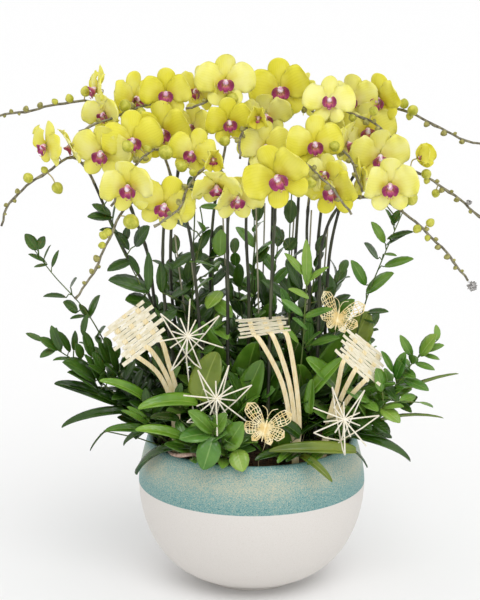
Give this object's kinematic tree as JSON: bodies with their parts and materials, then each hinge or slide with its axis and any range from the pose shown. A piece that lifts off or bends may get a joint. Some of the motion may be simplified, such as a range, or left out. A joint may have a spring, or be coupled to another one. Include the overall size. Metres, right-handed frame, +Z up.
{
  "type": "potted orchid",
  "caption": "Round two-tone glazed bowl planted with arching yellow moth orchids, mixed foliage, woven bamboo fans, rattan stars and gilt butterflies.",
  "frame": {"origin": "middle of the pot's flat foot, on the surface it stands on", "axes": "+Z up, -Y towards the front of the arrangement, +X to the right seen from the front"},
  "size_m": [0.8127, 0.4206, 0.8983],
  "materials": {
    "glazed_stoneware": "speckled teal glaze over a matt off-white lower bowl",
    "bark_mix": "rough, dark brown bark chips",
    "plant_stake": "pale dry cane",
    "orchid_spike": "soft lemon-yellow petals on brown-green stems",
    "gilt_wire": "pale gilt openwork",
    "rattan": "bleached, dry",
    "bamboo_strip": "pale planed strips with tan patches",
    "root_twig": "pinkish beige bark",
    "foliage": "glossy green leaf",
    "grass_blade": "satin green blade",
    "orchid_leaf": "glossy deep green leaf"
  },
  "bodies": {
    "root": {"pot": "glazed_stoneware", "potting_mix": "bark_mix", "stake_01": "plant_stake", "stake_02": "plant_stake", "stake_03": "plant_stake", "stake_04": "plant_stake", "stake_05": "plant_stake", "stake_06": "plant_stake", "stake_07": "plant_stake", "stake_08": "plant_stake", "spike_01": "orchid_spike", "spike_02": "orchid_spike", "spike_03": "orchid_spike", "spike_04": "orchid_spike", "spike_05": "orchid_spike", "spike_06": "orchid_spike", "spike_07": "orchid_spike", "spike_08": "orchid_spike", "spike_09": "orchid_spike", "spike_10": "orchid_spike", "spike_11": "orchid_spike", "spike_12": "orchid_spike", "spike_13": "orchid_spike", "spike_14": "orchid_spike", "spike_15": "orchid_spike", "butterfly_01": "gilt_wire", "butterfly_02": "gilt_wire", "rattan_star_01": "rattan", "rattan_star_02": "rattan", "rattan_star_03": "rattan", "bamboo_fan_01": "bamboo_strip", "bamboo_fan_02": "bamboo_strip", "bamboo_fan_03": "bamboo_strip", "root_twig": "root_twig", "ruscus_left": "foliage", "ruscus_left_low": "foliage", "ruscus_left_inner": "foliage", "ruscus_left_tall": "foliage", "foliage_mid_left": "foliage", "foliage_tall_left": "foliage", "foliage_tall_mid": "foliage", "foliage_tall_right": "foliage", "new_shoot": "foliage", "ruscus_right": "foliage", "ruscus_right_low": "foliage", "ruscus_right_front": "foliage", "rosette_front": "foliage", "foliage_back_left": "foliage", "foliage_back_right": "foliage", "grass_right": "grass_blade", "grass_left": "grass_blade", "orchid_leaves_01": "orchid_leaf", "orchid_leaves_02": "orchid_leaf", "orchid_leaves_03": "orchid_leaf", "orchid_leaves_04": "orchid_leaf", "orchid_leaves_05": "orchid_leaf", "orchid_leaves_06": "orchid_leaf", "orchid_leaves_07": "orchid_leaf", "orchid_leaves_08": "orchid_leaf", "orchid_leaves_09": "orchid_leaf"}
  },
  "joints": []
}
